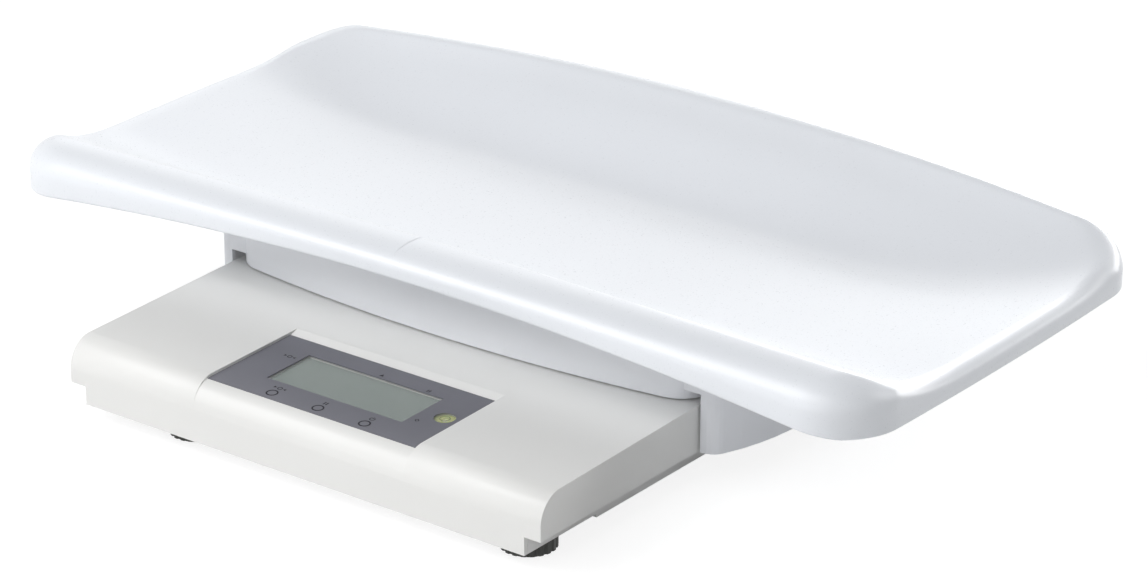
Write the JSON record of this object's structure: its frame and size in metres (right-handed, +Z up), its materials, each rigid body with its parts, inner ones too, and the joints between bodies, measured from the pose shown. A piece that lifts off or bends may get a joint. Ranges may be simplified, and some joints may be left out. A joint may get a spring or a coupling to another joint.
{
  "type": "digital baby weighing scale",
  "caption": "Free-standing baby weighing scale with a long shallow tray over a low console with display, flat keys, spirit level and levelling feet.",
  "frame": {"origin": "under the middle of the whole scale, on the surface that its feet stand on", "axes": "+X to the user's right along the tray, +Y from the user to the back, +Z up"},
  "size_m": [0.5848, 0.3766, 0.1102],
  "materials": {
    "console_white": "fine matt, warm white",
    "base_white": "fine matt, warm white",
    "tray_white": "satin gloss, cool white",
    "cover_white": "fine matt, cool white",
    "film_grey": "printed polyester film, satin",
    "clear_pane": "clear, polished",
    "display_green": "grey-green display face",
    "diffuser_white": "opal diffuser",
    "board_green": "solder mask",
    "black_plastic": "matt black",
    "vial_clear": "clear acrylic",
    "level_green": "yellow-green liquid",
    "cell_jacket": "printed jacket",
    "nickel_plate": "nickel-plated spring steel",
    "zinc_steel": "zinc-plated",
    "black_steel": "black oxide",
    "cell_aluminium": "machined, clear anodised",
    "insert_brass": "turned",
    "foot_rubber": "moulded, matt"
  },
  "bodies": {
    "base": {"console_housing": "console_white", "bottom_cover": "base_white", "chassis_plate": "zinc_steel", "housing_screws": "zinc_steel", "panel_film": "film_grey", "lcd_window": "clear_pane", "lcd_glass": "display_green", "lcd_backlight": "diffuser_white", "main_board": "board_green", "board_screws": "zinc_steel", "tact_switches": "black_plastic", "controller_parts": "black_plastic", "level_vial": "vial_clear", "level_liquid": "level_green", "dc_jack": "black_plastic", "battery_cells": "cell_jacket", "battery_contacts": "nickel_plate", "load_cell": "cell_aluminium", "load_cell_packer": "zinc_steel", "load_cell_screws": "black_steel", "overload_stops": "zinc_steel", "foot_inserts": "insert_brass"},
    "platform": {"tray_shell": "tray_white", "tray_bosses": "tray_white", "tray_cover": "cover_white", "platform_plate": "zinc_steel", "platform_posts": "zinc_steel", "platform_packer": "zinc_steel", "platform_screws": "black_steel", "tray_screws": "black_steel"},
    "battery_door": {"battery_door": "base_white"},
    "key_left": {"key_left": "film_grey"},
    "key_middle": {"key_middle": "film_grey"},
    "key_right": {"key_right": "film_grey"},
    "front_left_pad": {"foot_front_left_pad": "foot_rubber"},
    "front_left_wheel": {"foot_front_left_wheel": "black_plastic", "foot_front_left_stud": "zinc_steel"},
    "front_right_pad": {"foot_front_right_pad": "foot_rubber"},
    "front_right_wheel": {"foot_front_right_wheel": "black_plastic", "foot_front_right_stud": "zinc_steel"},
    "rear_left_pad": {"foot_rear_left_pad": "foot_rubber"},
    "rear_left_wheel": {"foot_rear_left_wheel": "black_plastic", "foot_rear_left_stud": "zinc_steel"},
    "rear_right_pad": {"foot_rear_right_pad": "foot_rubber"},
    "rear_right_wheel": {"foot_rear_right_wheel": "black_plastic", "foot_rear_right_stud": "zinc_steel"}
  },
  "joints": [
    {"name": "platform_sink", "type": "slide", "parent": "base", "child": "platform", "axis": [0, 0, -1], "range_m": [0, 0.00035], "stiffness_N_per_m": 600000, "springref_m": -0.00004},
    {"name": "key_left_press", "type": "slide", "parent": "base", "child": "key_left", "axis": [0, 0.0215, -0.9998], "range_m": [0, 0.0003], "stiffness_N_per_m": 2000, "springref_m": -0.0003},
    {"name": "key_middle_press", "type": "slide", "parent": "base", "child": "key_middle", "axis": [0, 0.0215, -0.9998], "range_m": [0, 0.0003], "stiffness_N_per_m": 2000, "springref_m": -0.0003},
    {"name": "key_right_press", "type": "slide", "parent": "base", "child": "key_right", "axis": [0, 0.0215, -0.9998], "range_m": [0, 0.0003], "stiffness_N_per_m": 2000, "springref_m": -0.0003},
    {"name": "battery_door_hinge", "type": "hinge", "parent": "base", "child": "battery_door", "pos_m": [-0.1295, -0.0722, 0.0127], "axis": [1, 0, 0], "range_deg": [0, 85]},
    {"name": "front_left_level", "type": "slide", "parent": "base", "child": "front_left_pad", "axis": [0, 0, -1], "range_m": [0, 0.0075]},
    {"name": "front_left_turn", "type": "hinge", "parent": "front_left_pad", "child": "front_left_wheel", "pos_m": [-0.092, -0.1633, 0.0045], "axis": [0, 0, -1], "range_deg": [0, 2160]},
    {"name": "front_right_level", "type": "slide", "parent": "base", "child": "front_right_pad", "axis": [0, 0, -1], "range_m": [0, 0.0075]},
    {"name": "front_right_turn", "type": "hinge", "parent": "front_right_pad", "child": "front_right_wheel", "pos_m": [0.133, -0.1633, 0.0045], "axis": [0, 0, -1], "range_deg": [0, 2160]},
    {"name": "rear_left_level", "type": "slide", "parent": "base", "child": "rear_left_pad", "axis": [0, 0, -1], "range_m": [0, 0.0075]},
    {"name": "rear_left_turn", "type": "hinge", "parent": "rear_left_pad", "child": "rear_left_wheel", "pos_m": [-0.133, 0.1116, 0.0045], "axis": [0, 0, -1], "range_deg": [0, 2160]},
    {"name": "rear_right_level", "type": "slide", "parent": "base", "child": "rear_right_pad", "axis": [0, 0, -1], "range_m": [0, 0.0075]},
    {"name": "rear_right_turn", "type": "hinge", "parent": "rear_right_pad", "child": "rear_right_wheel", "pos_m": [0.133, 0.1116, 0.0045], "axis": [0, 0, -1], "range_deg": [0, 2160]}
  ],
  "couplings": [
    {"joint": "front_left_level", "follows": "front_left_turn", "m_per_rad": 0.00019894},
    {"joint": "front_right_level", "follows": "front_right_turn", "m_per_rad": 0.00019894},
    {"joint": "rear_left_level", "follows": "rear_left_turn", "m_per_rad": 0.00019894},
    {"joint": "rear_right_level", "follows": "rear_right_turn", "m_per_rad": 0.00019894}
  ]
}
